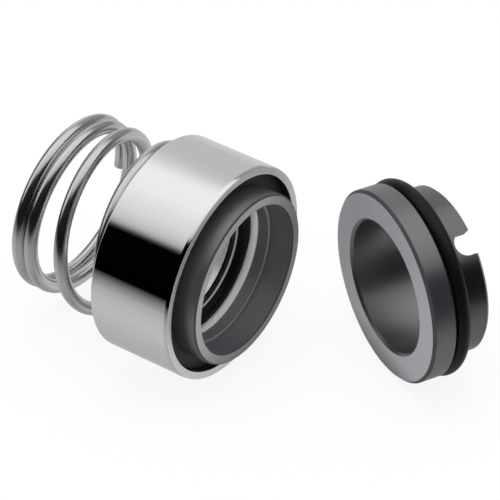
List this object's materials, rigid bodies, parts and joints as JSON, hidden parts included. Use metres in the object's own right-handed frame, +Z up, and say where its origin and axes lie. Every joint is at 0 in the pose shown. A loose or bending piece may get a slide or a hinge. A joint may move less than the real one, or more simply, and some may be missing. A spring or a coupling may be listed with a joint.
{
  "type": "component mechanical seal",
  "caption": "Component mechanical seal laid apart: cased rotating face ring with shaft O-ring and coil spring, and an O-ring mounted stationary seat with a pin notch.",
  "frame": {"origin": "Centre of the rotating sealing face, on the axis of the rotating head.", "axes": "X is the head's axis and points out of its sealing face, towards the stationary seat; Z is up; both units lie on a bench at z = -19 mm."},
  "size_m": [0.0753, 0.0492, 0.038],
  "materials": {
    "polished_steel": "polished stainless steel",
    "bright_steel": "turned stainless steel",
    "spring_wire": "drawn stainless wire",
    "seal_face": "sintered silicon carbide, lapped on its faces",
    "black_rubber": "moulded nitrile"
  },
  "bodies": {
    "seat": {"stationary_seat": "seal_face", "seat_o_ring": "black_rubber"},
    "head": {"casing": "polished_steel", "face_ring": "seal_face", "thrust_ring": "bright_steel", "head_o_ring": "black_rubber"},
    "spring": {"spring": "spring_wire"}
  },
  "joints": [
    {"name": "head_spin", "type": "hinge", "parent": "seat", "child": "head", "pos_m": [0, 0, 0], "axis": [1, 0, 0], "continuous": true},
    {"name": "spring_compress", "type": "slide", "parent": "head", "child": "spring", "axis": [1, 0, 0], "range_m": [0, 0.01], "stiffness_N_per_m": 4200, "deforming": ["spring"]}
  ]
}
